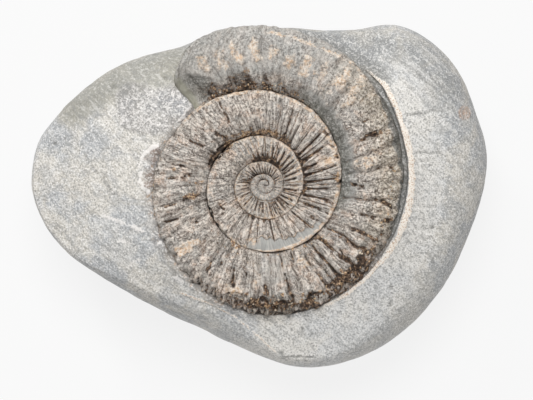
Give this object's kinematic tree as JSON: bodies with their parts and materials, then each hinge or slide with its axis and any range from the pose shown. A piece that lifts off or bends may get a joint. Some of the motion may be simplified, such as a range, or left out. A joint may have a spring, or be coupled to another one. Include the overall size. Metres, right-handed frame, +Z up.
{
  "type": "ammonite fossil in a stone nodule",
  "caption": "Water-worn mudstone nodule with a ribbed, coiled ammonite fossil lying in its top face; rests flat as a display specimen.",
  "frame": {"origin": "middle of the specimen's bounding box, on the surface it stands on", "axes": "+Z up, along the ammonite's coiling axis; +X along the nodule's length, away from its narrow end; +Y towards the last part of the shell's body chamber"},
  "size_m": [0.1166, 0.0876, 0.0437],
  "materials": {
    "mudstone": "pale grey water-worn mudstone, matte, finely speckled",
    "fossil_shell": "brown-grey mineralised shell, matte, with dark furrows and cream rib crests"
  },
  "bodies": {
    "root": {"matrix_stone": "mudstone", "ammonite": "fossil_shell"}
  },
  "joints": []
}
